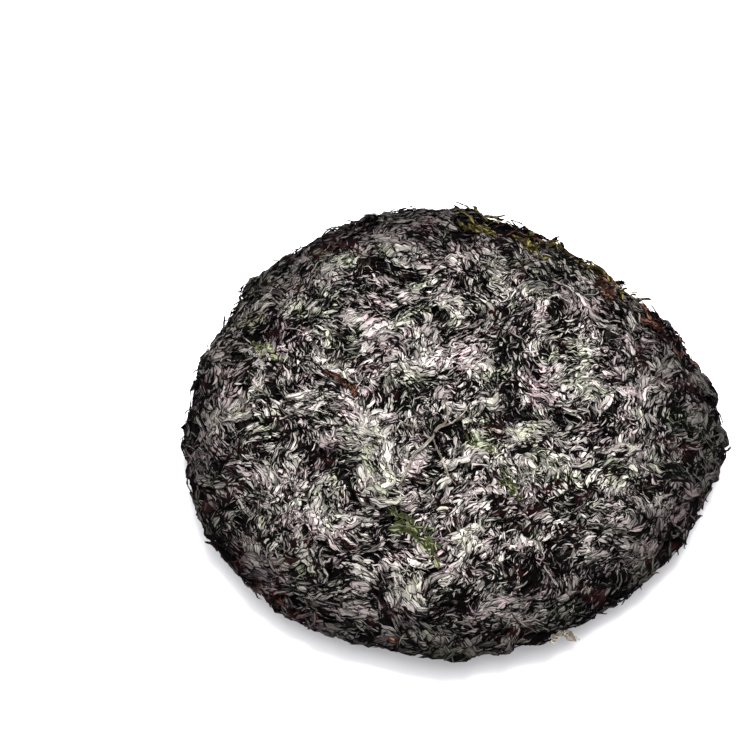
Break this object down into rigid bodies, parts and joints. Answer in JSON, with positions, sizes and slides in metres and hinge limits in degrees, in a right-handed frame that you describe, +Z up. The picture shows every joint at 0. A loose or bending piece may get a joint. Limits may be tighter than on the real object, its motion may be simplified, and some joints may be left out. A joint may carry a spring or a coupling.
{
  "type": "dried laver",
  "caption": "Round flat cake of dried laver: a crumpled purple-black mat with a ragged rim and a few green, olive, russet and straw-coloured blades.",
  "frame": {"origin": "centre of the bounding box's bottom face, on the table under the middle of the cake", "axes": "+Z up through the cake's thin way, +X to the right and -Y towards the viewer of the picture"},
  "size_m": [0.2186, 0.215, 0.0204],
  "materials": {
    "purple_black_laver": "satin",
    "green_laver": "satin",
    "olive_laver": "satin",
    "russet_laver": "satin",
    "straw_laver": "satin"
  },
  "bodies": {
    "root": {"laver_mat": "purple_black_laver", "green_blade_front": "green_laver", "green_blade_middle": "green_laver", "green_blade_right": "green_laver", "green_blade_left": "green_laver", "russet_blade_left": "russet_laver", "olive_blade_back": "olive_laver", "olive_blade_back_right": "olive_laver", "russet_blade_back_right": "russet_laver", "russet_blade_right": "russet_laver", "straw_frond_front": "straw_laver"}
  },
  "joints": []
}
